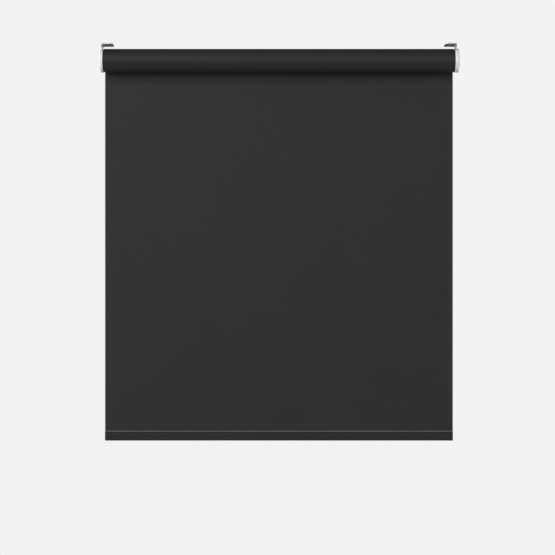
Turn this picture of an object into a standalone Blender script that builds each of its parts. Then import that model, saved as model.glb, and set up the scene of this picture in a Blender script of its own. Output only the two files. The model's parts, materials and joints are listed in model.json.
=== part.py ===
"""A cordless spring roller blind: a cloth roll between two head-fixed brackets, with a weighted hem.

Frame: +X along the roller, -Y towards the room, +Z up. The origin is midway between the brackets, in the
plane of their top faces, which sit against the head of the window recess. Lengths are in metres.
"""

from math import acos, atan2, cos, pi, radians, sin, sqrt

import bmesh
import bpy
from mathutils import Matrix, Vector

MM = 0.001
GAP = 0.3 * MM
SHARP_DEGREES = 40

# Driving dimensions
HALF_WIDTH = 300 * MM
AXIS_DROP = 28 * MM
AXIS_Z = -AXIS_DROP
HEM_BOTTOM_Z = -681.5 * MM
CLOTH = 0.4 * MM

TUBE_RADIUS = 18 * MM
TUBE_WALL = 1 * MM
TUBE_HALF_LENGTH = 299 * MM
ROLL_RADIUS = 19.9 * MM
KEYWAY_ANGLE = radians(125)
KEYWAY_WIDTH = 5 * MM
KEYWAY_DEPTH = 2 * MM

PLATE_INNER = 302 * MM
PLATE_THICKNESS = 2 * MM
PLATE_OUTER = PLATE_INNER + PLATE_THICKNESS
FLANGE_REACH = 20 * MM
FLANGE_HALF_DEPTH = 20 * MM
NECK_HALF_DEPTH = 12 * MM
NOSE_RADIUS = 17 * MM
SCREW_HOLE_RADIUS = 2.3 * MM
SCREW_SPACING = 24 * MM
TRIM = 5 * MM

COVER_RADIUS = 20.4 * MM
COVER_RIM = 301.2 * MM
COVER_APEX = {"left": 307.8 * MM, "right": 310.6 * MM}
COVER_RISE = {"left": 2.4 * MM, "right": 3 * MM}
COVER_EDGE = 1.5 * MM
COVER_WALL = 1.3 * MM
NOTCH_HEIGHT = 12 * MM

SHAFT_RADIUS = 4 * MM
SHAFT_INNER_END = 140 * MM
TANG_START = 290.5 * MM
TANG_END = 305.2 * MM
TANG_THICKNESS = 3 * MM
CIRCLIP_GROOVE = (260.6 * MM, 262 * MM)
GROOVE_RADIUS = 3.5 * MM
JOURNAL = SHAFT_RADIUS + GAP

PLUG_RADIUS = TUBE_RADIUS - TUBE_WALL - GAP
FLANGE_RADIUS = TUBE_RADIUS - GAP
PLUG_FACE = 300.6 * MM
PLUG_DEPTH = 38 * MM

RATCHET_TEETH = 6
RATCHET_CREST = 7.1 * MM
RATCHET_ROOT = 5.2 * MM
RATCHET_MIDDLE = 294.6 * MM
RATCHET_THICKNESS = 5 * MM
RECESS_RADIUS = 13.7 * MM
RECESS_FLOOR = 290.5 * MM
PAWL_PIVOT = 11.5 * MM
PAWL_LENGTH = 8 * MM
PAWL_EYE = 1.9 * MM
PAWL_TIP = 0.8 * MM
PAWL_PIN = 1 * MM
PAWL_ENGAGED_AT = 6.91 * MM
PAWL_SWING = radians(16)

SPRING_MEAN_RADIUS = 10 * MM
SPRING_WIRE = 0.8 * MM
SPRING_OUTER_END = 252 * MM
SPRING_INNER_END = 156 * MM
SPRING_TURNS = 18
SPRING_COLLAR = (255.4 * MM, 260.4 * MM)
ANCHOR_PLUG = (134 * MM, 150 * MM)

IDLE_PIN_RADIUS = 2.5 * MM
IDLE_PIN_TIP = 306.5 * MM
IDLE_CHAMBER = 5.5 * MM
IDLE_CHAMBER_END = 290 * MM
BUSH_RADIUS = 5 * MM

HEM_Y = ROLL_RADIUS + GAP + CLOTH / 2
HEM_HEIGHT = 16 * MM
HEM_THICKNESS = 4.6 * MM
BAR_HEIGHT = 13 * MM
BAR_THICKNESS = 3.1 * MM
BAR_WALL = 0.7 * MM
BAR_HALF_LENGTH = 296 * MM

FINISHES = {
    "charcoal_cloth": ((0.033, 0.033, 0.033), 0.85, 0.0),
    "white_plastic": ((0.85, 0.85, 0.84), 0.35, 0.0),
    "zinc_steel": ((0.62, 0.63, 0.65), 0.35, 1.0),
    "spring_steel": ((0.35, 0.35, 0.36), 0.3, 1.0),
    "aluminium": ((0.78, 0.79, 0.80), 0.35, 1.0),
    "black_plastic": ((0.02, 0.02, 0.02), 0.45, 0.0),
    "grey_plastic": ((0.35, 0.36, 0.37), 0.45, 0.0),
}

# Local x, y, z to world Y, Z, X, and the same mirrored in world X: local z always runs outwards.
OUT_RIGHT = Matrix(((0, 0, 1), (1, 0, 0), (0, 1, 0))).to_4x4()
OUT_LEFT = Matrix(((0, 0, -1), (-1, 0, 0), (0, 1, 0))).to_4x4()
SIDES = {"left": (-1, OUT_LEFT), "right": (1, OUT_RIGHT)}


def clear_scene():
    for obj in list(bpy.data.objects):
        bpy.data.objects.remove(obj)


def collection_named(name):
    made = bpy.data.collections.new(name)
    bpy.context.scene.collection.children.link(made)
    return made


def material_for(node, finish):
    colour, roughness, metallic = FINISHES[finish]
    material = bpy.data.materials.new(f"{node}_{finish}")
    material.use_nodes = True
    shader = material.node_tree.nodes["Principled BSDF"]
    shader.inputs["Base Color"].default_value = (*colour, 1)
    shader.inputs["Roughness"].default_value = roughness
    shader.inputs["Metallic"].default_value = metallic
    material.diffuse_color = (*colour, 1)
    return material


clear_scene()
BLIND = collection_named("roller_blind")
CUTTERS = collection_named("cutters")


def finished(obj, finish):
    """Gives a sub-part its material and puts it in the blind's collection."""
    obj.data.materials.clear()
    obj.data.materials.append(material_for(obj.name, finish))
    BLIND.objects.link(obj)
    return obj


def as_cutter(obj):
    CUTTERS.objects.link(obj)
    obj.hide_render = True
    obj.display_type = "WIRE"
    return obj


def placed(obj, orientation, origin):
    obj.matrix_world = Matrix.Translation(origin) @ orientation
    return obj


def on_axis(x=0.0):
    return Vector((x, 0, AXIS_Z))


def boolean(obj, other, operation="DIFFERENCE"):
    modifier = obj.modifiers.new(f"{operation.lower()}_{other.name}", "BOOLEAN")
    modifier.operation = operation
    modifier.solver = "EXACT"
    modifier.object = other
    return obj


def settle(obj):
    """Applies the modifiers, then shades the round faces smooth and keeps the edges sharp."""
    graph = bpy.context.evaluated_depsgraph_get()
    mesh = bpy.data.meshes.new_from_object(obj.evaluated_get(graph))
    obj.modifiers.clear()
    obj.data = mesh
    mesh.shade_smooth()
    mesh.set_sharp_from_angle(angle=radians(SHARP_DEGREES))


def turned(name, profile, side, steps=32):
    """A turned piece on the roller's axis: profile is a closed loop of (distance along the axis, radius),
    with its outer side running from the far end inwards, so the faces point out."""
    mesh = bpy.data.meshes.new(name)
    points = [(radius, 0, along) for along, radius in profile]
    count = len(points)
    edges = [(i, (i + 1) % count) for i in range(count)]
    off_axis = [edge for edge in edges if max(points[edge[0]][0], points[edge[1]][0]) > 0]
    mesh.from_pydata(points, off_axis, [])
    obj = bpy.data.objects.new(name, mesh)
    screw = obj.modifiers.new("turn", "SCREW")
    screw.axis = "Z"
    screw.steps = screw.render_steps = steps
    screw.use_merge_vertices = True
    screw.merge_threshold = 0.00001
    screw.use_smooth_shade = False
    return placed(obj, SIDES[side][1], on_axis())


def arc(centre, radius, start, end, steps):
    """Points (u, v) on an arc from the angle start to the angle end, both included."""
    return [
        (
            centre[0] + radius * cos(start + (end - start) * i / steps),
            centre[1] + radius * sin(start + (end - start) * i / steps),
        )
        for i in range(steps + 1)
    ]


def rounded_box(width, height, radius, steps=5, centre=(0, 0)):
    """The outline of a rectangle with round corners, anticlockwise."""
    u, v = width / 2 - radius, height / 2 - radius
    outline = []
    for index, (cu, cv) in enumerate(((u, v), (-u, v), (-u, -v), (u, -v))):
        corner = (centre[0] + cu, centre[1] + cv)
        outline += arc(corner, radius, index * pi / 2, (index + 1) * pi / 2, steps)
    return outline


def extruded(name, outlines, thickness):
    """A flat outline, with any holes, given thickness about local z = 0, as a welded mesh."""
    curve = bpy.data.curves.new(name, "CURVE")
    curve.dimensions = "2D"
    curve.fill_mode = "BOTH"
    curve.extrude = thickness / 2
    for outline in outlines:
        spline = curve.splines.new("POLY")
        spline.points.add(len(outline) - 1)
        for point, (u, v) in zip(spline.points, outline):
            point.co = (u, v, 0, 1)
        spline.use_cyclic_u = True
    return meshed(bpy.data.objects.new(name, curve), name)


def meshed(curve_object, name):
    """The evaluated curve as a mesh object with welded caps. The curve is removed."""
    bpy.context.scene.collection.objects.link(curve_object)
    bpy.context.view_layer.update()
    graph = bpy.context.evaluated_depsgraph_get()
    mesh = bpy.data.meshes.new_from_object(curve_object.evaluated_get(graph))
    form = bmesh.new()
    form.from_mesh(mesh)
    bmesh.ops.remove_doubles(form, verts=form.verts, dist=0.000001)
    form.to_mesh(mesh)
    form.free()
    curve = curve_object.data
    matrix = curve_object.matrix_world.copy()
    bpy.data.objects.remove(curve_object)
    bpy.data.curves.remove(curve)
    obj = bpy.data.objects.new(name, mesh)
    obj.matrix_world = matrix
    return obj


def plate_along_x(name, outlines, low, high):
    """Outlines of (y, z) points about the roller's axis, extruded from x = low to x = high."""
    obj = extruded(name, outlines, high - low)
    return placed(obj, OUT_RIGHT, on_axis((low + high) / 2))


def box_cutter(name, size, centre):
    form = bmesh.new()
    bmesh.ops.create_cube(form, size=1, matrix=Matrix.Diagonal((*size, 1)))
    mesh = bpy.data.meshes.new(name)
    form.to_mesh(mesh)
    form.free()
    obj = bpy.data.objects.new(name, mesh)
    obj.location = centre
    return as_cutter(obj)


def round_cutter(name, radius, length, centre, direction, sides=24):
    form = bmesh.new()
    bmesh.ops.create_cone(
        form, cap_ends=True, segments=sides, radius1=radius, radius2=radius, depth=length
    )
    mesh = bpy.data.meshes.new(name)
    form.to_mesh(mesh)
    form.free()
    obj = bpy.data.objects.new(name, mesh)
    turn = Vector(direction).to_track_quat("Z", "Y").to_matrix().to_4x4()
    return as_cutter(placed(obj, turn, centre))


def rod(name, radius, length, centre, direction, finish, sides=20):
    """A plain pin or screw with chamfered ends."""
    obj = round_cutter(name, radius, length, centre, direction, sides)
    CUTTERS.objects.unlink(obj)
    obj.hide_render = False
    obj.display_type = "TEXTURED"
    bevel = obj.modifiers.new("chamfer", "BEVEL")
    bevel.width = radius * 0.25
    bevel.segments = 1
    bevel.limit_method = "ANGLE"
    return finished(obj, finish)


def wire(name, points, radius, finish):
    """A round wire through the points, on a straight-sided spline."""
    curve = bpy.data.curves.new(name, "CURVE")
    curve.dimensions = "3D"
    curve.bevel_depth = radius
    curve.bevel_resolution = 2
    curve.use_fill_caps = True
    spline = curve.splines.new("POLY")
    spline.points.add(len(points) - 1)
    for point, place in zip(spline.points, points):
        point.co = (*place, 1)
    obj = meshed(bpy.data.objects.new(name, curve), name)
    return finished(obj, finish)


# Brackets and their covers


def bracket_outline():
    """The plate seen along the roller, about the axis: a wide head, a neck and a round nose.
    The head runs past the flange, which the plan outline trims."""
    top = AXIS_DROP + TRIM
    head = FLANGE_HALF_DEPTH + TRIM
    shoulder = AXIS_DROP - 4 * MM
    fillet = 3 * MM
    corner = shoulder - fillet
    nose_start = acos(NECK_HALF_DEPTH / NOSE_RADIUS)
    right = [(head, top), (head, shoulder)]
    neck = arc((NECK_HALF_DEPTH + fillet, corner), fillet, pi / 2, pi, 5)
    nose = arc((0, 0), NOSE_RADIUS, nose_start, -pi - nose_start, 36)
    half = right + neck
    return half + nose + [(-y, z) for y, z in reversed(half)]


def bracket(side):
    """A folded steel bracket: a plate square to the roller, with its top flange turned inwards."""
    sign, outwards = SIDES[side]
    name = f"{side}_bracket"
    bend = 2.6 * MM
    corner = (PLATE_OUTER - bend, -bend)
    flange_end = PLATE_OUTER - FLANGE_REACH
    strip_end = flange_end - TRIM
    foot = AXIS_Z - NOSE_RADIUS - TRIM
    profile = [(strip_end, 0)]
    profile += arc(corner, bend, pi / 2, 0, 6)
    profile += [(PLATE_OUTER, foot), (PLATE_INNER, foot)]
    profile += arc(corner, bend - PLATE_THICKNESS, 0, pi / 2, 3)
    profile += [(strip_end, -PLATE_THICKNESS)]
    strip = extruded(name, [[(sign * s, z) for s, z in profile]], 2 * (FLANGE_HALF_DEPTH + 2 * TRIM))
    strip.matrix_world = Matrix.Rotation(pi / 2, 4, "X")

    low, high = sorted((sign * (strip_end - TRIM), sign * (PLATE_OUTER + TRIM)))
    outline = as_cutter(plate_along_x(f"{name}_outline", [bracket_outline()], low, high))
    boolean(strip, outline, "INTERSECT")
    plan = rounded_box(2 * FLANGE_REACH, 2 * FLANGE_HALF_DEPTH, 4 * MM)
    stencil = extruded(f"{name}_plan", [plan], 4 * AXIS_DROP)
    stencil.location = (sign * PLATE_OUTER, 0, -AXIS_DROP)
    boolean(strip, as_cutter(stencil), "INTERSECT")
    for index, y in enumerate((-SCREW_SPACING / 2, SCREW_SPACING / 2)):
        place = (sign * (flange_end + 8 * MM), y, 0)
        boolean(strip, round_cutter(f"{name}_hole_{index}", SCREW_HOLE_RADIUS, 10 * MM, place, (0, 0, 1)))
    return strip


def brackets():
    left = bracket("left")
    slot = (20 * MM, TANG_THICKNESS + 2 * GAP, 2 * SHAFT_RADIUS + 2 * GAP)
    boolean(left, box_cutter("tang_slot", slot, on_axis(-PLATE_OUTER)))
    right = bracket("right")
    hole = (BUSH_RADIUS + GAP, 20 * MM, on_axis(PLATE_OUTER), (1, 0, 0), 32)
    boolean(right, round_cutter("bush_hole", *hole))
    for obj in (left, right):
        finished(obj, "zinc_steel")


def cup_side(apex, radius, dome, edge, steps):
    """A cup's outline from its apex to its wall: an arc of radius dome, then one of radius edge."""
    centre = apex - dome
    edge_centre = centre + sqrt((dome - edge) ** 2 - (radius - edge) ** 2)
    meeting = atan2(radius - edge, edge_centre - centre)
    face = arc((centre, 0), dome, 0, meeting, steps)
    face[0] = (apex, 0)
    return face + arc((edge_centre, radius - edge), edge, meeting, pi / 2, 3)[1:]


def bracket_cover(side):
    """A domed cup over the bracket's nose, open at the top of its rim for the bracket's neck."""
    sign, _ = SIDES[side]
    apex, rise = COVER_APEX[side], COVER_RISE[side]
    dome = (COVER_RADIUS**2 + rise**2) / (2 * rise)
    inner_radius = COVER_RADIUS - COVER_WALL
    outside = cup_side(apex, COVER_RADIUS, dome, COVER_EDGE, 6)
    inside = cup_side(apex - COVER_WALL, inner_radius, dome, COVER_EDGE / 2, 6)
    profile = outside + [(COVER_RIM, COVER_RADIUS), (COVER_RIM, inner_radius)] + inside[::-1]
    cover = turned(f"{side}_bracket_cover", profile, side, 40)
    notch = (2 * (PLATE_OUTER + GAP - COVER_RIM), 2 * NECK_HALF_DEPTH + 2 * GAP, NOTCH_HEIGHT)
    place = (sign * COVER_RIM, 0, AXIS_Z + COVER_RADIUS)
    boolean(cover, box_cutter(f"{side}_cover_notch", notch, place))
    finished(cover, "white_plastic")


# Spring end


def spring_shaft():
    """A round shaft with a circlip groove and a flattened outer end."""
    groove_low, groove_high = CIRCLIP_GROOVE
    chamfer = 0.5 * MM
    profile = [
        (TANG_END, 0),
        (TANG_END, SHAFT_RADIUS - chamfer),
        (TANG_END - chamfer, SHAFT_RADIUS),
        (groove_high, SHAFT_RADIUS),
        (groove_high, GROOVE_RADIUS),
        (groove_low, GROOVE_RADIUS),
        (groove_low, SHAFT_RADIUS),
        (SHAFT_INNER_END + chamfer, SHAFT_RADIUS),
        (SHAFT_INNER_END, SHAFT_RADIUS - chamfer),
        (SHAFT_INNER_END, 0),
    ]
    shaft = turned("spring_shaft", profile, "left", 24)
    for index, sign in enumerate((-1, 1)):
        size = (2 * (TANG_END - TANG_START), 4 * MM, 4 * SHAFT_RADIUS)
        y = sign * (TANG_THICKNESS / 2 + size[1] / 2)
        boolean(shaft, box_cutter(f"tang_flat_{index}", size, (-TANG_END, y, AXIS_Z)))
    finished(shaft, "zinc_steel")


def circlip():
    outer, inner, mouth = 6.2 * MM, 3.9 * MM, radians(40)
    ring = arc((0, 0), outer, mouth, 2 * pi - mouth, 28)
    ring += arc((0, 0), inner, 2 * pi - mouth, mouth, 28)
    low, high = CIRCLIP_GROOVE[0] + GAP, CIRCLIP_GROOVE[1] - GAP
    finished(plate_along_x("shaft_circlip", [ring], -high, -low), "spring_steel")


def plug_body(name, side, inner_end, bores):
    """A turned plug for the tube's end: its body in the tube, its flange outside, and stepped bores.
    bores is a list of (outer end, inner end, radius), from the outer face inwards."""
    shoulder = TUBE_HALF_LENGTH + GAP
    chamfer = 0.4 * MM
    outer_bore = bores[0][2]
    profile = [
        (PLUG_FACE, outer_bore),
        (PLUG_FACE, FLANGE_RADIUS - chamfer),
        (PLUG_FACE - chamfer, FLANGE_RADIUS),
        (shoulder, FLANGE_RADIUS),
        (shoulder, PLUG_RADIUS),
        (inner_end, PLUG_RADIUS),
    ]
    for outer, inner, radius in reversed(bores):
        profile += [(inner, radius), (outer, radius)]
    obj = turned(name, profile[:-1], side, 40)
    return keyed(obj, side, (inner_end - 5 * MM, shoulder))


def keyed(obj, side, span):
    """Cuts the slot that passes the tube's keyway, along the given stretch of the axis."""
    sign, _ = SIDES[side]
    bottom = TUBE_RADIUS - KEYWAY_DEPTH - TUBE_WALL - GAP
    height = 8 * MM
    width = KEYWAY_WIDTH + 2 * TUBE_WALL + 2 * GAP
    cutter = box_cutter(f"{obj.name}_keyway", (span[1] - span[0], width, height), (0, 0, 0))
    direction = Vector((0, cos(KEYWAY_ANGLE), sin(KEYWAY_ANGLE)))
    place = on_axis(sign * (span[0] + span[1]) / 2) + direction * (bottom + height / 2)
    cutter.matrix_world = Matrix.Translation(place) @ Matrix.Rotation(KEYWAY_ANGLE - pi / 2, 4, "X")
    return boolean(obj, cutter)


def pawl_pivots():
    return {"upper": pi / 2, "lower": -pi / 2}


def polar(radius, angle, x=0.0):
    return on_axis(x) + Vector((0, radius * cos(angle), radius * sin(angle)))


def spring_end_plug():
    inner_end = PLUG_FACE - PLUG_DEPTH
    bores = [(PLUG_FACE, RECESS_FLOOR, RECESS_RADIUS), (RECESS_FLOOR, inner_end, JOURNAL)]
    plug = plug_body("spring_end_plug", "left", inner_end, bores)
    hole_depth = 3.3 * MM
    for name, angle in pawl_pivots().items():
        place = polar(PAWL_PIVOT, angle, -RECESS_FLOOR)
        boolean(plug, round_cutter(f"{name}_pin_hole", PAWL_PIN + GAP, 2 * hole_depth, place, (1, 0, 0), 20))
    finished(plug, "grey_plastic")


def washer(name, span, radius, finish, steps):
    """A round plate on the spring end's shaft, over the given stretch of the axis."""
    low, high = span
    profile = [(high, JOURNAL), (high, radius), (low, radius), (low, JOURNAL)]
    return finished(turned(name, profile, "left", steps), finish)


def ratchet_cover():
    span = (298.7 * MM, PLUG_FACE - GAP)
    washer("ratchet_cover", span, RECESS_RADIUS - GAP, "grey_plastic", 40)


def pawl_angles():
    """The pawl's direction about its pivot, engaged and clear, measured from straight inwards."""
    squares = PAWL_PIVOT**2 + PAWL_LENGTH**2 - PAWL_ENGAGED_AT**2
    engaged = acos(squares / (2 * PAWL_PIVOT * PAWL_LENGTH))
    return engaged, engaged + PAWL_SWING


def ratchet_wheel():
    """A saw-toothed wheel. Each notch has one radial face, which an engaged pawl's tip bears on."""
    engaged, _ = pawl_angles()
    tip_y = -PAWL_LENGTH * sin(engaged)
    tip_z = PAWL_PIVOT - PAWL_LENGTH * cos(engaged)
    tip_half_angle = (PAWL_TIP + GAP) / PAWL_ENGAGED_AT
    face = atan2(tip_z, tip_y) + tip_half_angle
    pitch = 2 * pi / RATCHET_TEETH
    crest = pitch / 3
    outline = []
    for tooth in range(RATCHET_TEETH):
        start = face + tooth * pitch
        outline += arc((0, 0), RATCHET_CREST, start, start + crest, 4)
        for step in range(1, 5):
            share = step / 4
            radius = RATCHET_CREST + (RATCHET_ROOT - RATCHET_CREST) * share
            angle = start + crest + (pitch - crest) * share
            outline.append((radius * cos(angle), radius * sin(angle)))
    slot = rounded_box(TANG_THICKNESS + 2 * GAP, 2 * SHAFT_RADIUS + 2 * GAP, 0.2 * MM, 2)
    low = -RATCHET_MIDDLE - RATCHET_THICKNESS / 2
    wheel = plate_along_x("ratchet_wheel", [outline, slot], low, low + RATCHET_THICKNESS)
    finished(wheel, "spring_steel")


def pawls():
    """Two pawls on pins in the spring end's plug, modelled swung clear of the ratchet wheel."""
    _, clear = pawl_angles()
    thickness = RATCHET_THICKNESS - 0.6 * MM
    lean = acos((PAWL_EYE - PAWL_TIP) / PAWL_LENGTH)
    outline = arc((0, 0), PAWL_EYE, lean, 2 * pi - lean, 16)
    outline += arc((PAWL_LENGTH, 0), PAWL_TIP, -lean, lean, 8)
    bore = arc((0, 0), PAWL_PIN + GAP, 0, 2 * pi * 15 / 16, 15)
    for name, angle in pawl_pivots().items():
        turn = angle + pi - clear
        pivot = polar(PAWL_PIVOT, angle, -RATCHET_MIDDLE)
        pawl = extruded(f"{name}_pawl", [outline, bore], thickness)
        placed(pawl, Matrix.Rotation(turn, 4, "X") @ OUT_RIGHT, pivot)
        finished(pawl, "spring_steel")
        low, high = RECESS_FLOOR - 3 * MM, 298.3 * MM
        middle = polar(PAWL_PIVOT, angle, -(low + high) / 2)
        rod(f"{name}_pawl_pin", PAWL_PIN, high - low, middle, (1, 0, 0), "spring_steel", 16)


def spring_collar():
    """The collar on the still shaft, with the hole for the spring's outer leg and a radial grub screw."""
    radius, depth = 13 * MM, 12 * MM
    middle = sum(SPRING_COLLAR) / 2
    collar = washer("spring_collar", SPRING_COLLAR, radius, "zinc_steel", 32)
    leg = polar(SPRING_MEAN_RADIUS, 0, -middle)
    boolean(collar, round_cutter("collar_leg_hole", SPRING_WIRE + GAP, depth, leg, (1, 0, 0), 16))
    screw_radius = 1.5 * MM
    screw_low, screw_high = SHAFT_RADIUS + GAP, radius - 0.5 * MM
    hole = polar(screw_low + depth / 2, pi / 2, -middle)
    boolean(collar, round_cutter("grub_hole", screw_radius + GAP, depth, hole, (0, 0, 1), 16))
    centre = polar((screw_low + screw_high) / 2, pi / 2, -middle)
    length = screw_high - screw_low
    rod("collar_grub_screw", screw_radius, length, centre, (0, 0, 1), "spring_steel", 16)


def torsion_spring():
    """The lifting spring: a long coil round the shaft, with a straight leg along the axis at each end.
    Returns the inner leg's angle."""
    per_turn, lead = 10, 4
    rise = 3.2 * MM
    sweep, joint = 0.10, 0.14
    coil = SPRING_OUTER_END - SPRING_INNER_END
    count = SPRING_TURNS * per_turn
    points = [(SPRING_COLLAR[1] - 1.4 * MM, 0.0)]
    for step in range(lead, 0, -1):
        eased = rise * (step / lead) ** 2
        points.append((SPRING_OUTER_END + eased, -sweep * (lead - step)))
    start = points[-1][1] - joint
    for step in range(count + 1):
        points.append((SPRING_OUTER_END - coil * step / count, start - 2 * pi * step / per_turn))
    end = points[-1][1] - joint
    for step in range(1, lead + 1):
        eased = rise * (step / lead) ** 2
        points.append((SPRING_INNER_END - eased, end - sweep * (step - 1)))
    leg_angle = points[-1][1]
    points.append((ANCHOR_PLUG[1] - 3 * MM, leg_angle))
    places = [polar(SPRING_MEAN_RADIUS, angle, -s) for s, angle in points]
    wire("torsion_spring", places, SPRING_WIRE, "spring_steel")
    return leg_angle


def spring_anchor_plug(leg_angle):
    """The plug inside the tube that carries the shaft's inner end and the spring's turning leg."""
    low, high = ANCHOR_PLUG
    margin = 5 * MM
    plug = washer("spring_anchor_plug", ANCHOR_PLUG, PLUG_RADIUS, "grey_plastic", 40)
    keyed(plug, "left", (low - margin, high + margin))
    leg = polar(SPRING_MEAN_RADIUS, leg_angle, -high)
    hole_radius, hole_depth = SPRING_WIRE + GAP, 5 * MM
    boolean(plug, round_cutter("anchor_leg_hole", hole_radius, 2 * hole_depth, leg, (1, 0, 0), 16))


# Idle end


def idle_end():
    inner_end = 255 * MM
    bore = IDLE_PIN_RADIUS + GAP
    bores = [(PLUG_FACE, IDLE_CHAMBER_END, bore), (IDLE_CHAMBER_END, inner_end, IDLE_CHAMBER)]
    finished(plug_body("idle_end_plug", "right", inner_end, bores), "grey_plastic")

    seat_low, seat_high, seat = 255.3 * MM, 259.0 * MM, IDLE_CHAMBER - GAP
    profile = [(seat_high, 0), (seat_high, seat), (seat_low, seat), (seat_low, 0)]
    finished(turned("idle_spring_seat", profile, "right", 24), "grey_plastic")

    collar_low, collar_high = 287.2 * MM, IDLE_CHAMBER_END - GAP
    tail_end, tail = 266 * MM, 1.8 * MM
    profile = [
        (IDLE_PIN_TIP, 0),
        (IDLE_PIN_TIP, IDLE_PIN_RADIUS - 0.9 * MM),
        (IDLE_PIN_TIP - 1.2 * MM, IDLE_PIN_RADIUS),
        (collar_high, IDLE_PIN_RADIUS),
        (collar_high, seat),
        (collar_low, seat),
        (collar_low, tail),
        (tail_end, tail),
        (tail_end, 0),
    ]
    finished(turned("idle_pin", profile, "right", 24), "zinc_steel")

    turns, per_turn, wire_radius, coil_radius = 8, 10, 0.5 * MM, 3.7 * MM
    low, high = seat_high + GAP + wire_radius, collar_low - GAP - wire_radius
    count = turns * per_turn
    places = [
        polar(coil_radius, 2 * pi * step / per_turn, low + (high - low) * step / count)
        for step in range(count + 1)
    ]
    wire("idle_spring", places, wire_radius, "spring_steel")

    flange = 6.6 * MM
    bush_inner, bush_step, bush_outer = 301.4 * MM, PLATE_OUTER + GAP, 305.4 * MM
    profile = [
        (bush_outer, bore),
        (bush_outer, flange),
        (bush_step, flange),
        (bush_step, BUSH_RADIUS),
        (bush_inner, BUSH_RADIUS),
        (bush_inner, bore),
    ]
    finished(turned("idle_pin_bush", profile, "right", 32), "white_plastic")


# Tube and cloth


def keyway_outline(outer_radius, half_width, depth_radius, steps):
    """A circle with a square channel let into it at the keyway's angle."""
    half_angle = atan2(half_width, sqrt(outer_radius**2 - half_width**2))
    ring = arc((0, 0), outer_radius, half_angle, 2 * pi - half_angle, steps)
    points = ring + [(depth_radius, -half_width), (depth_radius, half_width)]
    turn = Matrix.Rotation(KEYWAY_ANGLE, 2)
    return [tuple(turn @ Vector(point)) for point in points]


def roller_tube():
    """The tube, and the strip that holds the cloth's end in its keyway."""
    outer = keyway_outline(TUBE_RADIUS, KEYWAY_WIDTH / 2, TUBE_RADIUS - KEYWAY_DEPTH, 60)
    inner = keyway_outline(
        TUBE_RADIUS - TUBE_WALL,
        KEYWAY_WIDTH / 2 + TUBE_WALL,
        TUBE_RADIUS - KEYWAY_DEPTH - TUBE_WALL,
        60,
    )
    tube = plate_along_x("roller_tube", [outer, inner], -TUBE_HALF_LENGTH, TUBE_HALF_LENGTH)
    finished(tube, "aluminium")

    height = KEYWAY_DEPTH - 2 * GAP - 0.1 * MM
    radius = TUBE_RADIUS - KEYWAY_DEPTH + GAP + height / 2
    section = rounded_box(height, KEYWAY_WIDTH - 2 * GAP, 0.4 * MM, 3, (radius, 0))
    turn = Matrix.Rotation(KEYWAY_ANGLE, 2)
    section = [tuple(turn @ Vector(point)) for point in section]
    length = TUBE_HALF_LENGTH - 1 * MM
    strip = plate_along_x("fabric_fixing_strip", [section], -length, length)
    finished(strip, "black_plastic")


def fabric_roll():
    corners = ((1, TUBE_RADIUS + GAP), (1, ROLL_RADIUS), (-1, ROLL_RADIUS), (-1, TUBE_RADIUS + GAP))
    profile = [(end * HALF_WIDTH, radius) for end, radius in corners]
    finished(turned("fabric_roll", profile, "right", 72), "charcoal_cloth")


def slab(name, half_length, outlines, finish):
    """Outlines of (y, z) points about the hem's middle, extruded both ways along X."""
    obj = extruded(name, outlines, 2 * half_length)
    placed(obj, OUT_RIGHT, (0, HEM_Y, HEM_BOTTOM_Z + HEM_HEIGHT / 2))
    return finished(obj, finish)


def fabric_drop():
    top = AXIS_Z
    bottom = HEM_BOTTOM_Z + HEM_HEIGHT + GAP
    height = top - bottom
    centre = (top + bottom) / 2 - (HEM_BOTTOM_Z + HEM_HEIGHT / 2)
    section = rounded_box(CLOTH, height, CLOTH / 4, 2, (0, centre))
    slab("fabric_drop", HALF_WIDTH, [section], "charcoal_cloth")


def hem():
    """The welded pocket, its bar and the bar's end caps."""
    corner = 2 * MM
    outer = rounded_box(HEM_THICKNESS, HEM_HEIGHT, corner)
    cavity = rounded_box(HEM_THICKNESS - 2 * CLOTH, HEM_HEIGHT - 2 * CLOTH, corner - CLOTH)
    slab("hem_pocket", HALF_WIDTH, [outer, cavity], "charcoal_cloth")
    section = rounded_box(BAR_THICKNESS, BAR_HEIGHT, 1.2 * MM)
    hollow = rounded_box(BAR_THICKNESS - 2 * BAR_WALL, BAR_HEIGHT - 2 * BAR_WALL, 0.5 * MM)
    slab("bottom_bar", BAR_HALF_LENGTH, [section, hollow], "aluminium")
    tongue = rounded_box(
        BAR_THICKNESS - 2 * BAR_WALL - 2 * GAP,
        BAR_HEIGHT - 2 * BAR_WALL - 2 * GAP,
        0.3 * MM,
    )
    face = rounded_box(HEM_THICKNESS - 2 * CLOTH - 2 * GAP, BAR_HEIGHT, 1.3 * MM)
    tongue_length, overlap = 10 * MM, 0.5 * MM
    head_low, head_high = BAR_HALF_LENGTH + GAP, HALF_WIDTH + 0.2 * MM
    middle_z = HEM_BOTTOM_Z + HEM_HEIGHT / 2
    for side, (sign, _) in SIDES.items():
        name = f"{side}_bar_end_cap"
        head = extruded(name, [face], head_high - head_low)
        placed(head, OUT_RIGHT, (sign * (head_low + head_high) / 2, HEM_Y, middle_z))
        plug = as_cutter(extruded(f"{name}_tongue", [tongue], tongue_length))
        placed(plug, OUT_RIGHT, (sign * (head_low + overlap - tongue_length / 2), HEM_Y, middle_z))
        boolean(head, plug, "UNION")
        finished(head, "black_plastic")


def build():
    brackets()
    for side in SIDES:
        bracket_cover(side)
    spring_shaft()
    circlip()
    spring_end_plug()
    ratchet_cover()
    ratchet_wheel()
    pawls()
    spring_collar()
    leg_angle = torsion_spring()
    spring_anchor_plug(leg_angle)
    idle_end()
    roller_tube()
    fabric_roll()
    fabric_drop()
    hem()
    for obj in BLIND.objects:
        settle(obj)


build()
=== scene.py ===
import json
from math import asin, cos, pi, radians, sin, sqrt, tau

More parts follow.
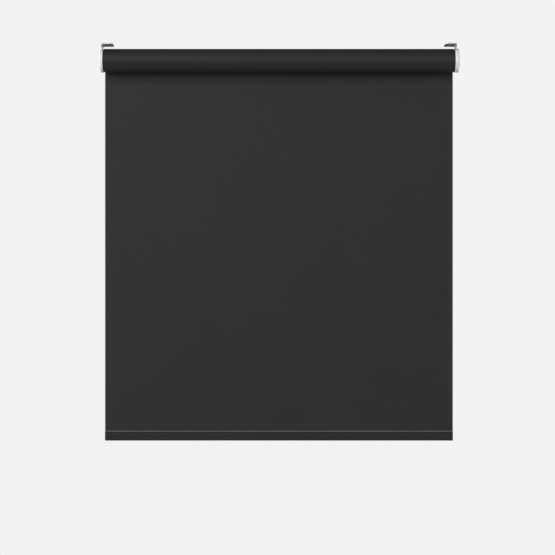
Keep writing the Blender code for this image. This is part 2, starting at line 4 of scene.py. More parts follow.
import bmesh
import bpy
import numpy as np
from mathutils import Matrix, Vector


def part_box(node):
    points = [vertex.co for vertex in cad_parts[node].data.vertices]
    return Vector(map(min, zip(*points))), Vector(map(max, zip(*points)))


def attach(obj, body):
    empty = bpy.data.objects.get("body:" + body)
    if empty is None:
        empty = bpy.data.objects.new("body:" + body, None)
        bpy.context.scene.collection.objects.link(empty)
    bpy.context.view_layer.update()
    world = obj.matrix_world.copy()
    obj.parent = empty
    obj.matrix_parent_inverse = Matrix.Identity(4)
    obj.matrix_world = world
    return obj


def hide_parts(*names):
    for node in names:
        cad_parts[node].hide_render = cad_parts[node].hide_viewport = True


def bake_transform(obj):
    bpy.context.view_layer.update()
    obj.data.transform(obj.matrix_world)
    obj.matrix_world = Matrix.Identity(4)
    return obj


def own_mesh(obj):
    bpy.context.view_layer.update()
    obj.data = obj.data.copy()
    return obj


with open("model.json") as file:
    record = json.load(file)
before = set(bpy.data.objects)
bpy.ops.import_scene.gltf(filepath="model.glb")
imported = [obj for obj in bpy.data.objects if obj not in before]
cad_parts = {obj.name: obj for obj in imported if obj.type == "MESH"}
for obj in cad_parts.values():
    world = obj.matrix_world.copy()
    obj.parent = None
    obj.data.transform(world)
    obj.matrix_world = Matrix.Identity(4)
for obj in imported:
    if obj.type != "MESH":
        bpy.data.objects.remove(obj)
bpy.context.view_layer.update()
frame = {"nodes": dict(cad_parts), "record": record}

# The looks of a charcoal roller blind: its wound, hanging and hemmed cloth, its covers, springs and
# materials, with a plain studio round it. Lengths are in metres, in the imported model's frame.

MM = 0.001

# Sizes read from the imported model
ROLL_LOW, ROLL_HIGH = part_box("fabric_roll")
DROP_LOW, DROP_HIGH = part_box("fabric_drop")
HEM_LOW, HEM_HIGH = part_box("hem_pocket")
AXIS_Z = (ROLL_LOW.z + ROLL_HIGH.z) / 2
HALF_WIDTH = ROLL_HIGH.x
CLOTH = DROP_HIGH.y - DROP_LOW.y
CLOTH_Y = (DROP_LOW.y + DROP_HIGH.y) / 2

# Sizes of the shapes that are built here
LAYER_GAP = 0.02 * MM
TURN_PITCH = 0.41 * MM
KEYWAY_ANGLE = radians(125)
OUTER_TURN_START = radians(350)
HEM_START = HEM_HIGH.z + 0.3 * MM
HEM_FLAP = 5.5 * MM
COVER_WALL = 1.3 * MM
DOME_RISE = {"left": 2.4 * MM, "right": 3 * MM}
NECK_HALF_DEPTH = 12.3 * MM
NOTCH_HEIGHT, NOTCH_CLEARANCE = 12 * MM, 0.3 * MM
SPRING_COIL = (-252 * MM, -156 * MM)
SPRING_RADIUS, SPRING_WIRE = 10 * MM, 0.8 * MM
IDLE_SPRING_RADIUS, IDLE_SPRING_WIRE = 3.7 * MM, 0.5 * MM

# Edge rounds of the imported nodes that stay: folded and moulded ones are rounder than cut ones
MOULDED_EDGE = 0.2 * MM
CUT_EDGE = 0.08 * MM
MOULDED_NODES = {
    "left_bracket",
    "right_bracket",
    "left_bar_end_cap",
    "right_bar_end_cap",
    "idle_pin_bush",
}
CRISP_ANGLE = radians(40)

# The camera stands level, square to the cloth
VIEW_DISTANCE = 3.2
VIEW_WIDTH = 0.958
VIEW_CENTRE = (-0.0025, -0.400)
SENSOR = 36.0

# The studio: each light's name, place, size, power and spread
PALE = (0.895, 0.895, 0.895, 1)
WORLD_FILL = 0.12
LIGHTS = (
    ("key", (-1.4, -4.3, 1.4), (3.0, 3.0), 104, 180),
    ("front_fill", (1.8, -3.4, -0.5), (1.8, 1.8), 7, 180),
    ("left_side", (-3.4, -1.7, 0.4), (3.0, 3.4), 66, 180),
    ("right_side", (3.4, -1.7, 0.3), (3.0, 3.4), 60, 180),
    ("back_left", (-2.9, 2.5, -0.2), (1.6, 2.2), 24, 100),
    ("back_right", (2.9, 2.5, -0.2), (1.6, 2.2), 20, 100),
)
LIT_POINT = (0, 0, -0.35)
FLOOR_Z = -1.6
FLOOR_RADIUS = 4.0
FLOOR_FADE = (0.4, 2.6)
FLOOR_COLOUR = (0.80, 0.80, 0.80, 1)


# Small helpers for meshes


def mesh_object(name, points, faces, uvs=None):
    """A new object from points and faces. uvs gives (u, v) in metres for each point."""
    mesh = bpy.data.meshes.new(name)
    mesh.from_pydata([tuple(p) for p in points], [], [tuple(f) for f in faces])
    if uvs is not None:
        layer = mesh.uv_layers.new(name="cloth")
        for loop in mesh.loops:
            layer.data[loop.index].uv = uvs[loop.vertex_index]
    mesh.validate()
    obj = bpy.data.objects.new(name, mesh)
    bpy.context.scene.collection.objects.link(obj)
    return obj


def faces_outwards(obj, merge=0.0):
    """Turns every face outwards. Points nearer than merge become one first."""
    form = bmesh.new()
    form.from_mesh(obj.data)
    if merge:
        bmesh.ops.remove_doubles(form, verts=form.verts, dist=merge)
    bmesh.ops.recalc_face_normals(form, faces=form.faces)
    form.to_mesh(obj.data)
    form.free()
    return obj


def shade(obj, degrees=35):
    """Smooth shading, with edges sharper than this left crisp."""
    obj.data.shade_smooth()
    obj.data.set_sharp_from_angle(angle=radians(degrees))
    return obj


def paint(obj, material):
    obj.data.materials.clear()
    obj.data.materials.append(material)
    return obj


def loft(rings, closed_around=True, closed_along=False):
    """Faces between rings of equal size, numbered in order."""
    faces = []
    size = len(rings[0])
    spans = len(rings) if closed_along else len(rings) - 1
    for i in range(spans):
        here, there = rings[i], rings[(i + 1) % len(rings)]
        for j in range(size if closed_around else size - 1):
            k = (j + 1) % size
            faces.append((here[j], here[k], there[k], there[j]))
    return faces


def ribbon(name, path, stations, thickness, edge=None):
    """Cloth of some thickness that follows path, a list of (y, z), and spans the stations along X.
    edge(i, x) may move the cloth's edge at path point i. Its UVs are in metres of cloth."""
    path = np.array(path, float)
    steps = np.diff(path, axis=0)
    lengths = np.concatenate([[0], np.cumsum(np.hypot(steps[:, 0], steps[:, 1]))])
    tangents = np.gradient(path, lengths, axis=0)
    tangents /= np.linalg.norm(tangents, axis=1)[:, None]
    normals = np.stack([tangents[:, 1], -tangents[:, 0]], axis=1)
    points, uvs, rings = [], [], []
    for i, (y, z) in enumerate(path):
        ring = []
        for side, xs in ((0.5, stations), (-0.5, stations[::-1])):
            offset = normals[i] * side * thickness
            for x in xs:
                moved = edge(i, x) if edge else x
                ring.append(len(points))
                points.append((moved, y + offset[0], z + offset[1]))
                uvs.append((x, lengths[i]))
        rings.append(ring)
    faces = loft(rings)
    count = len(stations)
    for ring, flip in ((rings[0], True), (rings[-1], False)):
        for j in range(count - 1):
            quad = (ring[j], ring[j + 1], ring[2 * count - 2 - j], ring[2 * count - 1 - j])
            faces.append(quad[::-1] if flip else quad)
    return faces_outwards(mesh_object(name, points, faces, uvs))


def path_length(path):
    steps = np.diff(np.array(path, float), axis=0)
    return float(np.hypot(steps[:, 0], steps[:, 1]).sum())


def arc(centre, radius, start, end, steps):
    """Points on an arc in the (y, z) plane, both ends included."""
    angles = [start + (end - start) * i / steps for i in range(steps + 1)]
    return [(centre[0] + radius * cos(a), centre[1] + radius * sin(a)) for a in angles]


# Materials


class Nodes:
    """A material under construction, with short calls for the nodes that it needs."""

    def __init__(self, name):
        self.material = bpy.data.materials.new(name)
        self.material.use_nodes = True
        self.tree = self.material.node_tree
        self.shader = self.tree.nodes["Principled BSDF"]

    def add(self, kind, **settings):
        node = self.tree.nodes.new(kind)
        for key, value in settings.items():
            setattr(node, key, value)
        return node

    def put(self, socket, value):
        """Links an output to a socket, or sets the socket's own value."""
        if isinstance(value, bpy.types.NodeSocket):
            self.tree.links.new(value, socket)
        else:
            socket.default_value = value

    def maths(self, operation, a, b=0.0, c=0.0):
        node = self.add("ShaderNodeMath", operation=operation)
        for socket, value in zip(node.inputs, (a, b, c)):
            self.put(socket, value)
        return node.outputs[0]

    def scaled(self, vector, scale):
        node = self.add("ShaderNodeVectorMath", operation="MULTIPLY")
        self.put(node.inputs[0], vector)
        node.inputs[1].default_value = scale
        return node.outputs[0]

    def noise(self, vector, scale, detail=2.0, roughness=0.5):
        node = self.add("ShaderNodeTexNoise")
        self.put(node.inputs["Vector"], vector)
        node.inputs["Scale"].default_value = scale
        node.inputs["Detail"].default_value = detail
        node.inputs["Roughness"].default_value = roughness
        return node.outputs["Fac"]

    def between(self, value, low, high):
        """value from 0 to 1, mapped to low to high."""
        node = self.add("ShaderNodeMapRange")
        self.put(node.inputs["Value"], value)
        node.inputs["To Min"].default_value = low
        node.inputs["To Max"].default_value = high
        return node.outputs["Result"]

    def mixed(self, share, dark, light):
        node = self.add("ShaderNodeMix", data_type="RGBA")
        self.put(node.inputs[0], share)
        self.put(node.inputs[6], dark)
        self.put(node.inputs[7], light)
        return node.outputs[2]

    def bump(self, height, distance, strength):
        node = self.add("ShaderNodeBump")
        node.inputs["Strength"].default_value = strength
        node.inputs["Distance"].default_value = distance
        self.put(node.inputs["Height"], height)
        return node.outputs["Normal"]

    def place(self):
        return self.add("ShaderNodeTexCoord").outputs["Object"]

    def finish(self, colour, roughness, normal=None, **constants):
        """Fills the shader. The constants name its sockets, with _ for a space."""
        self.put(self.shader.inputs["Base Color"], colour)
        self.put(self.shader.inputs["Roughness"], roughness)
        if normal is not None:
            self.put(self.shader.inputs["Normal"], normal)
        for key, value in constants.items():
            self.shader.inputs[key.replace("_", " ")].default_value = value
        return self.material


def grey(value, warm=0.0):
    return (value * (1 + warm), value, value * (1 - warm), 1)


def cloth_material(name, albedo):
    """Close plain-weave blackout cloth with a matt coating. It reads its UVs in metres of cloth."""
    thread, relief_depth = 0.42 * MM, 0.06 * MM
    weave_share, slub_share, cloud_share = 0.42, 0.45, 0.15
    darkest, lightest = 0.45, 1.55
    roughest, smoothest = 0.64, 0.52
    n = Nodes(name)
    uv = n.add("ShaderNodeUVMap", uv_map="cloth").outputs["UV"]
    parts = n.add("ShaderNodeSeparateXYZ")
    n.put(parts.inputs[0], uv)
    across = n.maths("SINE", n.maths("MULTIPLY", parts.outputs["X"], pi / thread))
    down = n.maths("SINE", n.maths("MULTIPLY", parts.outputs["Y"], pi / thread))
    weave = n.maths("MULTIPLY_ADD", n.maths("MULTIPLY", across, down), 0.5, 0.5)
    warp = n.noise(n.scaled(uv, (2400, 28, 1)), 1.0, 2.0)
    weft = n.noise(n.scaled(uv, (28, 2400, 1)), 1.0, 2.0)
    slub = n.maths("MULTIPLY_ADD", warp, 0.5, n.maths("MULTIPLY", weft, 0.5))
    cloud = n.noise(n.scaled(uv, (1, 1, 1)), 9.0, 3.0)
    thread_tone = n.maths("MULTIPLY_ADD", slub, slub_share, n.maths("MULTIPLY", weave, weave_share))
    tone = n.maths("MULTIPLY_ADD", cloud, cloud_share, thread_tone)
    colour = n.mixed(tone, grey(albedo * darkest), grey(albedo * lightest, 0.005))
    fibre = n.noise(n.scaled(uv, (1, 1, 1)), 5200.0, 2.0)
    normal = n.bump(n.maths("MULTIPLY_ADD", fibre, 0.3, weave), relief_depth, 0.7)
    rough = n.between(slub, smoothest, roughest)
    fuzz = {"Specular_IOR_Level": 0.28, "Sheen_Weight": 0.02, "Sheen_Roughness": 0.4}
    return n.finish(colour, rough, normal, **fuzz)


def moulded_plastic(name, albedo, roughness, grain=0.02 * MM):
    """Injection-moulded plastic: faint flow marks in its tone, with a fine skin."""
    warm, palest = 0.004, 0.9
    n = Nodes(name)
    place = n.place()
    flow = n.noise(n.scaled(place, (40, 12, 12)), 1.0, 3.0)
    light = grey(min(albedo * 1.03, palest), warm * 0.5)
    colour = n.mixed(flow, grey(albedo * 0.965, warm), light)
    skin = n.noise(place, 1400.0, 2.0)
    broad = n.noise(place, 120.0, 2.0)
    normal = n.bump(n.maths("MULTIPLY_ADD", broad, 0.6, skin), grain, 0.25)
    return n.finish(colour, n.between(broad, roughness - 0.05, roughness + 0.06), normal)


def zinc_plate(name):
    """Bright zinc plate on pressed steel: soft mottling, rolling lines and a faint passivation tint."""
    n = Nodes(name)
    place = n.place()
    mottle = n.noise(place, 260.0, 4.0, 0.6)
    lines = n.noise(n.scaled(place, (900, 60, 900)), 1.0, 3.0)
    colour = n.mixed(mottle, (0.42, 0.43, 0.45, 1), (0.58, 0.59, 0.60, 1))
    wear = n.maths("MULTIPLY_ADD", lines, 0.5, n.maths("MULTIPLY", mottle, 0.5))
    return n.finish(colour, n.between(wear, 0.36, 0.56), n.bump(lines, 0.02 * MM, 0.3), Metallic=1.0)


def spring_steel(name):
    """Dark drawn steel with a thin, uneven film of oil."""
    n = Nodes(name)
    place = n.place()
    film = n.noise(place, 180.0, 3.0)
    drawn = n.noise(n.scaled(place, (700, 2500, 2500)), 1.0, 2.0)
    colour = n.mixed(film, (0.22, 0.22, 0.225, 1), (0.36, 0.355, 0.35, 1))
    return n.finish(colour, n.between(film, 0.20, 0.42), n.bump(drawn, 0.01 * MM, 0.3), Metallic=1.0)


def extruded_aluminium(name):
    """Mill-finish aluminium with die lines along X."""
    n = Nodes(name)
    place = n.place()
    lines = n.noise(n.scaled(place, (6, 2600, 2600)), 1.0, 3.0)
    cloud = n.noise(place, 40.0, 2.0)
    colour = n.mixed(lines, (0.66, 0.67, 0.68, 1), (0.80, 0.81, 0.82, 1))
    wear = n.maths("MULTIPLY_ADD", lines, 0.6, n.maths("MULTIPLY", cloud, 0.4))
    return n.finish(colour, n.between(wear, 0.24, 0.44), n.bump(lines, 0.015 * MM, 0.4), Metallic=1.0)


def weld_material_painted_highlight(name):
    """Cloth pressed shiny by the welding bar, its colour painted far paler than the cloth's: a painted
    highlight along the pressed line.
    """
    n = Nodes(name)
    place = n.place()
    cloud = n.noise(n.scaled(place, (60, 900, 900)), 1.0, 3.0)
    colour = n.mixed(cloud, grey(0.082), grey(0.112))
    relief = n.bump(cloud, 0.03 * MM, 0.3)
    return n.finish(colour, n.between(cloud, 0.34, 0.46), relief, Specular_IOR_Level=0.6)


CLOTH_FACE = cloth_material("charcoal_blackout_cloth", 0.0185)
# The hem's cloth is the same cloth given a darker colour: painted shade on the pocket.
CLOTH_HEM_PAINTED_SHADE = cloth_material("charcoal_hem_cloth_painted_shade", 0.0144)
# The weld line's pale colour is a painted highlight.
WELD = weld_material_painted_highlight("welded_cloth_painted_highlight")
WHITE = moulded_plastic("white_moulded_plastic", 0.84, 0.30)
BLACK = moulded_plastic("black_moulded_plastic", 0.022, 0.42, 0.03 * MM)
GREY = moulded_plastic("grey_moulded_plastic", 0.30, 0.45, 0.03 * MM)
ZINC = zinc_plate("zinc_plated_steel")
SPRING = spring_steel("oiled_spring_steel")
ALUMINIUM = extruded_aluminium("extruded_aluminium")

FINISH_OF_SLOT = {
    "charcoal_cloth": CLOTH_FACE,
    "white_plastic": WHITE,
    "zinc_steel": ZINC,
    "spring_steel": SPRING,
    "aluminium": ALUMINIUM,
    "black_plastic": BLACK,
    "grey_plastic": GREY,
}


def finish_cad_nodes():
    """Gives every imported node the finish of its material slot."""
    for part in frame["record"]["subparts"]:
        node = frame["nodes"][part["node"]]
        paint(node, FINISH_OF_SLOT[part["material_slot"]])


# Cloth


def piece(obj, body, slot, *nodes):
    """A finished piece that rides on a body and stands for the nodes."""
    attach(obj, body)
    if nodes:
        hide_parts(*nodes)
    return obj


def over_width(count):
    """Evenly spaced stations over the cloth's width."""
    return list(np.linspace(-HALF_WIDTH, HALF_WIDTH, count))


def turned_cloth(name, start, finish, radius_at, body):
    """Cloth that runs round the roller's axis from the angle start down to finish. The angle is 0
    at the back and a quarter turn at the top."""
    per_turn = 120
    count = round((start - finish) / tau * per_turn)
    angles = [start + (finish - start) * i / count for i in range(count + 1)]
    path = [(radius_at(a) * cos(a), AXIS_Z + radius_at(a) * sin(a)) for a in angles]

    def edge(i, x):
        """The turns don't lie quite flush: each edge wanders a little along the roll."""
        turn = angles[i] / tau
        drift = 0.22 * MM * sin(2.6 * turn) + 0.08 * MM * sin(7.1 * turn + 1)
        return x + (drift if abs(x) > HALF_WIDTH - MM else 0)

    cloth = ribbon(name, path, over_width(9), CLOTH, edge)
    paint(shade(cloth), CLOTH_FACE)
    piece(cloth, body, "charcoal_cloth")
    return cloth, (2 * HALF_WIDTH, path_length(path))


def wound_cloth():
    """The roll. Its inner turns are one spiral from the tube's keyway, and they turn with the roller
    inside the outermost turn. That one looks the same however far the roller has turned: it comes
    round from the back, over the front and the top, and leaves the roll straight down at the back.
    So it stays still."""
    top = ROLL_HIGH.z - AXIS_Z - CLOTH / 2
    inner_top = top - CLOTH - LAYER_GAP
    leave = pi / 2

    def spiral(angle):
        return inner_top - TURN_PITCH * angle / tau

    def outermost(angle):
        ease = max(0, 1 - angle / leave)
        return top + (CLOTH_Y - top) * ease * ease

    inner, flat = turned_cloth("inner_turns", 2 * tau + KEYWAY_ANGLE, 0, spiral, "roller")
    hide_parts("fabric_roll")
    outer, flat = turned_cloth("outer_turn", OUTER_TURN_START, 0, outermost, "root")


def hanging_cloth():
    """The drop of cloth from the back of the roll to the hem. It has rows only at its top, its middle
    and its bottom."""
    top, bottom = AXIS_Z, HEM_START
    path = [(CLOTH_Y, top), (CLOTH_Y, (top + bottom) / 2), (CLOTH_Y, bottom)]
    drop = ribbon("hanging_cloth", path, over_width(13), CLOTH)
    paint(shade(drop), CLOTH_FACE)
    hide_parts("fabric_drop")
    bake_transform(drop)


def hem_cloth():
    """The hem: the cloth runs down in front of the bar, under it and up behind, and is welded to
    itself above the bar, with a short flap left over at the back."""
    depth = (HEM_HIGH.y - HEM_LOW.y - CLOTH) / 2
    top, bottom = HEM_HIGH.z, HEM_LOW.z + CLOTH / 2
    front, back = CLOTH_Y - depth, CLOTH_Y + depth
    touching = CLOTH_Y + CLOTH + LAYER_GAP
    round_off = 1.6 * MM
    # How the pocket opens below the weld: (share of its depth, millimetres down)
    swell = ((0.0, 0.7), (0.08, 0.95), (0.30, 1.3), (0.62, 1.75), (0.88, 2.3), (1.0, 3.1), (1.0, 5.0))
    path = [(CLOTH_Y, HEM_START)]
    path += [(CLOTH_Y - depth * out, top - down * MM) for out, down in swell]
    path += arc((front + round_off, bottom + round_off), round_off, pi, 1.5 * pi, 8)
    path += arc((back - round_off, bottom + round_off), round_off, 1.5 * pi, tau, 8)
    path += [(touching + (back - touching) * out, top - down * MM) for out, down in swell[::-1]]
    path += [(touching, top + HEM_FLAP)]
    hem = ribbon("hem_pocket_cloth", path, over_width(25), CLOTH)
    # The pocket gets the darker copy of the cloth: painted shade.
    paint(shade(hem, 50), CLOTH_HEM_PAINTED_SHADE)
    piece(hem, "hem", "charcoal_cloth", "hem_pocket")


def weld_line():
    """The crimped line that the welding bar presses across the cloth above the pocket, room side."""
    rib, relief, proud, sunk = 1.0 * MM, 0.09 * MM, 0.13 * MM, 0.02 * MM
    face = CLOTH_Y - CLOTH / 2
    low, high = HEM_HIGH.z - 0.95 * MM, HEM_HIGH.z + 1.15 * MM
    reach = HALF_WIDTH - 0.4 * MM
    per_rib, rows = 4, 5
    columns = round(2 * reach / rib * per_rib)
    points, faces = [], []
    for column in range(columns + 1):
        x = -reach + 2 * reach * column / columns
        for row in range(rows):
            share = row / (rows - 1)
            edge = sin(pi * share) ** 0.35 if 0 < share < 1 else 0
            out = edge * (proud + relief * cos(tau * column / per_rib)) - sunk
            points.append((x, face - out, low + (high - low) * share))
    for column in range(columns):
        here, there = column * rows, (column + 1) * rows
        faces += [(here + r, there + r, there + r + 1, here + r + 1) for r in range(rows - 1)]
    strip = mesh_object("hem_weld_line", points, faces)
    body = strip.modifiers.new("body", "SOLIDIFY")
    body.thickness = 0.05 * MM
    body.offset = -1
    # Painted highlight: the strip's colour is far paler than the cloth's.
    paint(shade(strip, 60), WELD)
    piece(strip, "hem", "charcoal_cloth")


# Covers


def spun(name, profile, outwards):
    """A closed profile of (distance along X, radius) turned about the roller's axis."""
    steps = 128
    points, rings = [], []
    for step in range(steps):
        angle = tau * step / steps
        ring = []
        for along, radius in profile:
            ring.append(len(points))
            points.append((outwards * along, radius * cos(angle), AXIS_Z + radius * sin(angle)))
        rings.append(ring)
    faces = loft(rings, closed_around=False, closed_along=True)
    return faces_outwards(mesh_object(name, points, faces), merge=0.01 * MM)


def cup_side(apex, radius, dome, edge, grooved=False):
    """A cup's section from its apex to its wall: a shallow dome, then a small round."""
    centre = apex - dome
    edge_centre = centre + sqrt((dome - edge) ** 2 - (radius - edge) ** 2)
    meeting = asin((radius - edge) / (dome - edge))
    radii = [radius * share for share in (0, 0.12, 0.24, 0.36, 0.48, 0.6, 0.7, 0.78)]
    face = [(centre + sqrt(dome**2 - r**2), r) for r in radii]
    if grooved:
        groove, half, depth = radius - 3.2 * MM, 0.35 * MM, 0.28 * MM
        for offset, sunk in ((-half, 0), (-half / 2, depth), (half / 2, depth), (half, 0)):
            r = groove + offset
            face.append((centre + sqrt(dome**2 - r**2) - sunk, r))
    steps = 8
    for step in range(steps + 1):
        angle = meeting + (pi / 2 - meeting) * step / steps
        face.append((edge_centre + edge * cos(angle), radius - edge + edge * sin(angle)))
    return face


def cover_profile(rim, apex, radius, rise):
    """The cup's section from its apex out, round its shoulder, along the rim and back inside."""
    dome = (radius**2 + rise**2) / (2 * rise)
    lip, outer_edge, inner_edge = 0.25 * MM, 1.5 * MM, 0.75 * MM
    inside = radius - COVER_WALL
    profile = cup_side(apex, radius, dome, outer_edge, grooved=True)
    profile += [(rim + lip, radius), (rim + lip * 0.3, radius - lip * 0.3), (rim, radius - lip)]
    profile += [(rim, inside + lip), (rim + lip, inside)]
    return profile + cup_side(apex - COVER_WALL, inside, dome, inner_edge)[::-1]


def bracket_cover(side, outwards):
    """A domed white cover, with the notch in its rim that clears the bracket's neck."""
    node = f"{side}_bracket_cover"
    low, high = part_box(node)
    rim, apex = sorted((abs(low.x), abs(high.x)))
    radius = (high.y - low.y) / 2
    profile = cover_profile(rim, apex, radius, DOME_RISE[side])
    cover = spun(f"{side}_cover_shell", profile, outwards)
    plate = abs(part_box(f"{side}_bracket")[0 if outwards < 0 else 1].x) + NOTCH_CLEARANCE
    notch = (2 * (plate - rim), 2 * NECK_HALF_DEPTH, NOTCH_HEIGHT)
    cut(cover, box_cutter(notch, (outwards * rim, 0, AXIS_Z + radius)))
    paint(shade(cover, 32), WHITE)
    piece(cover, "root", "white_plastic", node)


def box_cutter(size, centre):
    form = bmesh.new()
    bmesh.ops.create_cube(form, size=1, matrix=Matrix.Diagonal((*size, 1)))
    mesh = bpy.data.meshes.new("cutter")
    form.to_mesh(mesh)
    form.free()
    obj = bpy.data.objects.new("cutter", mesh)
    obj.location = centre
    bpy.context.scene.collection.objects.link(obj)
    return obj


def cut(obj, cutter):
    """Cuts once and for all, and removes the cutter."""
    modifier = obj.modifiers.new("cut", "BOOLEAN")
    modifier.object = cutter
    modifier.solver = "EXACT"
    bpy.context.view_layer.update()
    graph = bpy.context.evaluated_depsgraph_get()
    mesh = bpy.data.meshes.new_from_object(obj.evaluated_get(graph))
    obj.modifiers.clear()
    obj.data = mesh
    bpy.data.objects.remove(cutter)


# Springs


def wound_wire(name, node, path, mean_radius, wire_radius):
    """A round wire wound about the roller's axis through path, a list of (x, angle), as a piece that
    stands for the node. Its corners are cut twice, which rounds the bends and leaves the turns true
    helices."""
    for _ in range(2):
        cut_path = [path[0]]
        for (x, angle), (next_x, next_angle) in zip(path, path[1:]):
            for share in (0.25, 0.75):
                cut_path.append((x + (next_x - x) * share, angle + (next_angle - angle) * share))
        path = cut_path + [path[-1]]
    centres = [Vector((x, mean_radius * cos(a), AXIS_Z + mean_radius * sin(a))) for x, a in path]
    last, sides = len(path) - 1, 12
    points, rings = [], []
    for i, (_, angle) in enumerate(path):
        along = (centres[min(i + 1, last)] - centres[max(i - 1, 0)]).normalized()
        sideways = along.cross(Vector((0, cos(angle), sin(angle)))).normalized()
        out = sideways.cross(along)
        rings.append(range(len(points), len(points) + sides))
        for side in range(sides):
            turn = tau * side / sides
            points.append(centres[i] + (out * cos(turn) + sideways * sin(turn)) * wire_radius)
    faces = loft(rings) + [tuple(rings[0])[::-1], tuple(rings[-1])]
    coil = faces_outwards(mesh_object(name, points, faces))
    paint(shade(coil, 60), SPRING)
    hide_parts(node)
    return coil


def lifting_spring():
    """It runs from its still leg to the leg that turns with the roller; the coil is built once and
    doesn't twist. Each leg runs along the axis, and bends into the coil over a short lead."""
    low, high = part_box("torsion_spring")
    outer, inner = SPRING_COIL
    turns, per_turn, lead = 18, 10, 4
    rise, sweep, joint = 3.2 * MM, 0.10, 0.14
    path = [(low.x, 0.0)]
    for step in range(lead, 0, -1):
        path.append((outer - rise * (step / lead) ** 2, -sweep * (lead - step)))
    start = path[-1][1] - joint
    count = turns * per_turn
    for step in range(count + 1):
        path.append((outer + (inner - outer) * step / count, start - tau * step / per_turn))
    end = path[-1][1] - joint
    for step in range(1, lead + 1):
        path.append((inner + rise * (step / lead) ** 2, end - sweep * (step - 1)))
    path.append((high.x, path[-1][1]))
    coil = wound_wire("lifting_spring_coil", "torsion_spring", path, SPRING_RADIUS, SPRING_WIRE)
    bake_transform(coil)


def idle_pin_spring():
    """It has a closed turn at each end. It is built at one length, though the real spring shortens
    as the pin is pushed in.
    """
    low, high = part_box("idle_spring")
    wire = IDLE_SPRING_WIRE
    turns, per_turn, closed, closed_pitch = 8, 10, 0.8, 2.1 * wire
    span = high.x - low.x - 2 * wire
    open_pitch = (span - 2 * closed * closed_pitch) / (turns - 2 * closed)
    path = []
    for step in range(turns * per_turn + 1):
        turn = step / per_turn
        first = min(turn, closed)
        last = max(turn - (turns - closed), 0)
        x = low.x + wire + (first + last) * closed_pitch + (turn - first - last) * open_pitch
        path.append((x, tau * turn))
    coil = wound_wire("idle_spring_coil", "idle_spring", path, IDLE_SPRING_RADIUS, wire)
    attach(coil, "roller")
    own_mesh(coil)


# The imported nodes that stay


def shading_group():
    """Geometry nodes that keep sharp edges crisp and shade the rest smooth."""
    group = bpy.data.node_groups.new("smooth_shading", "GeometryNodeTree")
    for way in ("INPUT", "OUTPUT"):
        group.interface.new_socket("Geometry", in_out=way, socket_type="NodeSocketGeometry")
    start = group.nodes.new("NodeGroupInput")
    angle = group.nodes.new("GeometryNodeInputMeshEdgeAngle")
    crisp = group.nodes.new("FunctionNodeCompare")
    crisp.operation = "GREATER_THAN"
    crisp.inputs["B"].default_value = CRISP_ANGLE
    normals = group.nodes.new("GeometryNodeSetMeshNormal")
    normals.mode = "SHARPNESS"
    normals.inputs["Remove Custom"].default_value = True
    group.links.new(start.outputs[0], normals.inputs["Mesh"])
    group.links.new(angle.outputs["Unsigned Angle"], crisp.inputs["A"])
    group.links.new(crisp.outputs["Result"], normals.inputs["Edge Sharpness"])
    group.links.new(normals.outputs["Mesh"], group.nodes.new("NodeGroupOutput").inputs[0])
    return group


def refine_cad_nodes():
    """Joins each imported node's facets into one skin, rounds its edges and shades its curves smooth."""
    group = shading_group()
    for name, obj in sorted(frame["nodes"].items()):
        if obj.hide_render:
            continue
        obj.modifiers.new("weld", "WELD").merge_threshold = 0.001 * MM
        flats = obj.modifiers.new("flats", "DECIMATE")
        flats.decimate_type = "DISSOLVE"
        flats.angle_limit = radians(0.5)
        bevel = obj.modifiers.new("edge_round", "BEVEL")
        bevel.width = MOULDED_EDGE if name in MOULDED_NODES else CUT_EDGE
        bevel.segments = 3
        bevel.limit_method = "ANGLE"
        bevel.angle_limit = CRISP_ANGLE
        bevel.use_clamp_overlap = False
        bevel.loop_slide = False
        obj.modifiers.new("shading", "NODES").node_group = group
        obj.modifiers.new("flat_faces_stay_flat", "WEIGHTED_NORMAL").keep_sharp = True


# The studio


def camera():
    data = bpy.data.cameras.new("camera")
    data.sensor_width = SENSOR
    data.lens = SENSOR * VIEW_DISTANCE / VIEW_WIDTH
    obj = bpy.data.objects.new("camera", data)
    obj.location = (VIEW_CENTRE[0], CLOTH_Y - VIEW_DISTANCE, VIEW_CENTRE[1])
    obj.rotation_euler = (pi / 2, 0, 0)
    bpy.context.scene.collection.objects.link(obj)
    bpy.context.scene.camera = obj


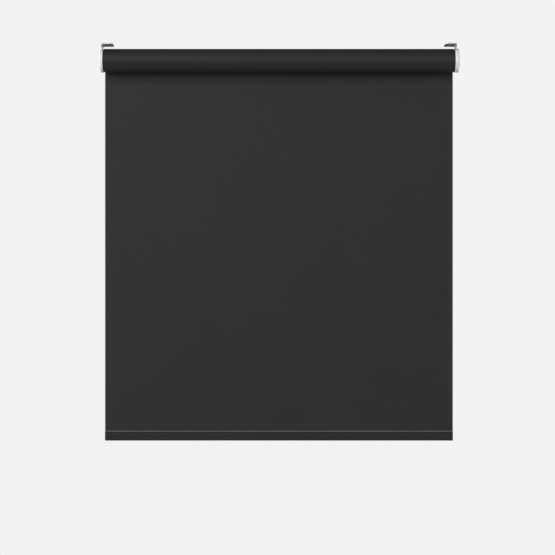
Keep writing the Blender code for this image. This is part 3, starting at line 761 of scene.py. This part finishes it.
def backdrop():
    """A pale background all round that hardly lights the blind."""
    world = bpy.data.worlds.new("studio")
    world.use_nodes = True
    tree = world.node_tree
    background = tree.nodes["Background"]
    background.inputs["Color"].default_value = PALE
    fill = tree.nodes.new("ShaderNodeBackground")
    fill.inputs["Color"].default_value = PALE
    fill.inputs["Strength"].default_value = WORLD_FILL
    seen = tree.nodes.new("ShaderNodeLightPath").outputs["Is Camera Ray"]
    choice = tree.nodes.new("ShaderNodeMixShader")
    tree.links.new(seen, choice.inputs[0])
    tree.links.new(fill.outputs[0], choice.inputs[1])
    tree.links.new(background.outputs[0], choice.inputs[2])
    tree.links.new(choice.outputs[0], tree.nodes["World Output"].inputs["Surface"])
    bpy.context.scene.world = world
    bpy.context.scene.view_settings.view_transform = "Standard"


def softboxes():
    """Large soft lights, all aimed at the middle of the blind."""
    for name, place, size, power, spread in LIGHTS:
        data = bpy.data.lights.new(name, "AREA")
        data.spread = radians(spread)
        data.shape = "RECTANGLE"
        data.size, data.size_y = size
        data.energy = power
        obj = bpy.data.objects.new(name, data)
        obj.location = place
        aim = Vector(LIT_POINT) - Vector(place)
        obj.rotation_euler = aim.to_track_quat("-Z", "Y").to_euler()
        bpy.context.scene.collection.objects.link(obj)


def floor():
    """A round floor that fades into the background."""
    rings, spokes = 24, 96
    points = [(0, 0, 0)]
    for ring in range(1, rings + 1):
        radius = FLOOR_RADIUS * ring / rings
        for spoke in range(spokes):
            angle = tau * spoke / spokes
            points.append((radius * cos(angle), radius * sin(angle), 0))
    faces = [(0, 1 + s, 1 + (s + 1) % spokes) for s in range(spokes)]
    for ring in range(rings - 1):
        a, b = 1 + ring * spokes, 1 + (ring + 1) * spokes
        faces += [(a + s, b + s, b + (s + 1) % spokes, a + (s + 1) % spokes) for s in range(spokes)]
    ground = mesh_object("floor", points, faces)
    ground.location.z = FLOOR_Z
    n = Nodes("pale_floor")
    reach = n.add("ShaderNodeVectorMath", operation="LENGTH")
    n.put(reach.inputs[0], n.place())
    fade = n.add("ShaderNodeMapRange", interpolation_type="SMOOTHSTEP")
    n.put(fade.inputs["Value"], reach.outputs["Value"])
    fade.inputs["From Min"].default_value = FLOOR_FADE[0]
    fade.inputs["From Max"].default_value = FLOOR_FADE[1]
    fade.inputs["To Min"].default_value = 1.0
    fade.inputs["To Max"].default_value = 0.0
    n.put(n.shader.inputs["Alpha"], fade.outputs["Result"])
    paint(ground, n.finish(FLOOR_COLOUR, 0.7))


finish_cad_nodes()
wound_cloth()
hanging_cloth()
hem_cloth()
weld_line()
bracket_cover("left", -1)
bracket_cover("right", 1)
lifting_spring()
idle_pin_spring()
refine_cad_nodes()
camera()
backdrop()
softboxes()
floor()
